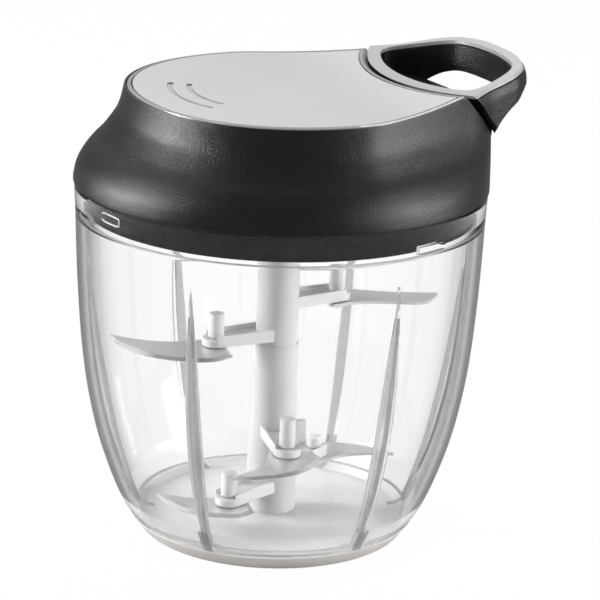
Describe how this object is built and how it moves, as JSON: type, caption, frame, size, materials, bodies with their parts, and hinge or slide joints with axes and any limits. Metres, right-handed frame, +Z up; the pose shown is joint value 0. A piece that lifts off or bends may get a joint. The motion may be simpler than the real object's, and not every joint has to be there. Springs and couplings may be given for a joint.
{
  "type": "food chopper",
  "caption": "Pull-cord food chopper: clear ribbed bowl on a soft base pad, stacked sickle blades on a central shaft, domed lid with a ring handle that nests in its edge.",
  "frame": {"origin": "centre of the base pad's underside, on the shaft's axis", "axes": "+Z up along the shaft, +X the way the handle pulls the cord out of the lid"},
  "size_m": [0.1466, 0.1344, 0.1572],
  "materials": {
    "clear": "clear gloss plastic",
    "pad": "soft matt",
    "steel": "plain",
    "blade": "satin",
    "white": "satin",
    "black": "fine grain",
    "band": "gloss",
    "silver": "satin silver coating",
    "bright": "polished",
    "nylon": "satin",
    "cord": "braided"
  },
  "bodies": {
    "bowl_body": {"bowl": "clear", "base_pad": "pad", "pivot_pin": "steel"},
    "blades": {"lower_shaft": "white", "upper_shaft": "white", "blade_1": "blade", "blade_2": "blade", "blade_3": "blade", "blade_4": "blade", "blade_5": "blade", "blade_peg_1": "white", "blade_peg_2": "white", "blade_peg_3": "white", "blade_peg_4": "white", "blade_peg_5": "white"},
    "lid": {"lid_shell": "black", "trim_ring": "bright", "top_plate": "silver", "inner_cover": "band", "cover_screw_1": "steel", "cover_screw_2": "steel", "cover_screw_3": "steel", "cover_screw_4": "steel", "axle": "steel", "retaining_clip": "steel", "axle_washer": "steel", "spring_cup": "white", "spring_cap": "white", "return_spring": "steel", "cord_eyelet": "nylon"},
    "drum": {"cord_drum": "white", "drive_socket": "white", "wound_cord": "cord"},
    "handle": {"handle_body": "black", "handle_inlay": "silver", "pull_cord": "cord", "cord_knot": "cord"}
  },
  "joints": [
    {"name": "lid_lift", "type": "slide", "parent": "bowl_body", "child": "lid", "axis": [0, 0, 1], "range_m": [0, 0.15]},
    {"name": "handle_pull", "type": "slide", "parent": "lid", "child": "handle", "axis": [1, 0, 0], "range_m": [0, 0.36], "stiffness_N_per_m": 25, "springref_m": -0.15, "deforming": ["pull_cord"]},
    {"name": "drum_spin", "type": "hinge", "parent": "lid", "child": "drum", "pos_m": [0, 0, 0.13], "axis": [0, 0, 1], "range_deg": [0, 1035], "deforming": ["return_spring", "wound_cord"]},
    {"name": "blade_spin", "type": "hinge", "parent": "bowl_body", "child": "blades", "pos_m": [0, 0, 0.05], "axis": [0, 0, 1], "range_deg": [0, 1035]}
  ],
  "couplings": [
    {"joint": "drum_spin", "follows": "handle_pull", "rad_per_m": 50},
    {"joint": "blade_spin", "follows": "handle_pull", "rad_per_m": 50}
  ]
}
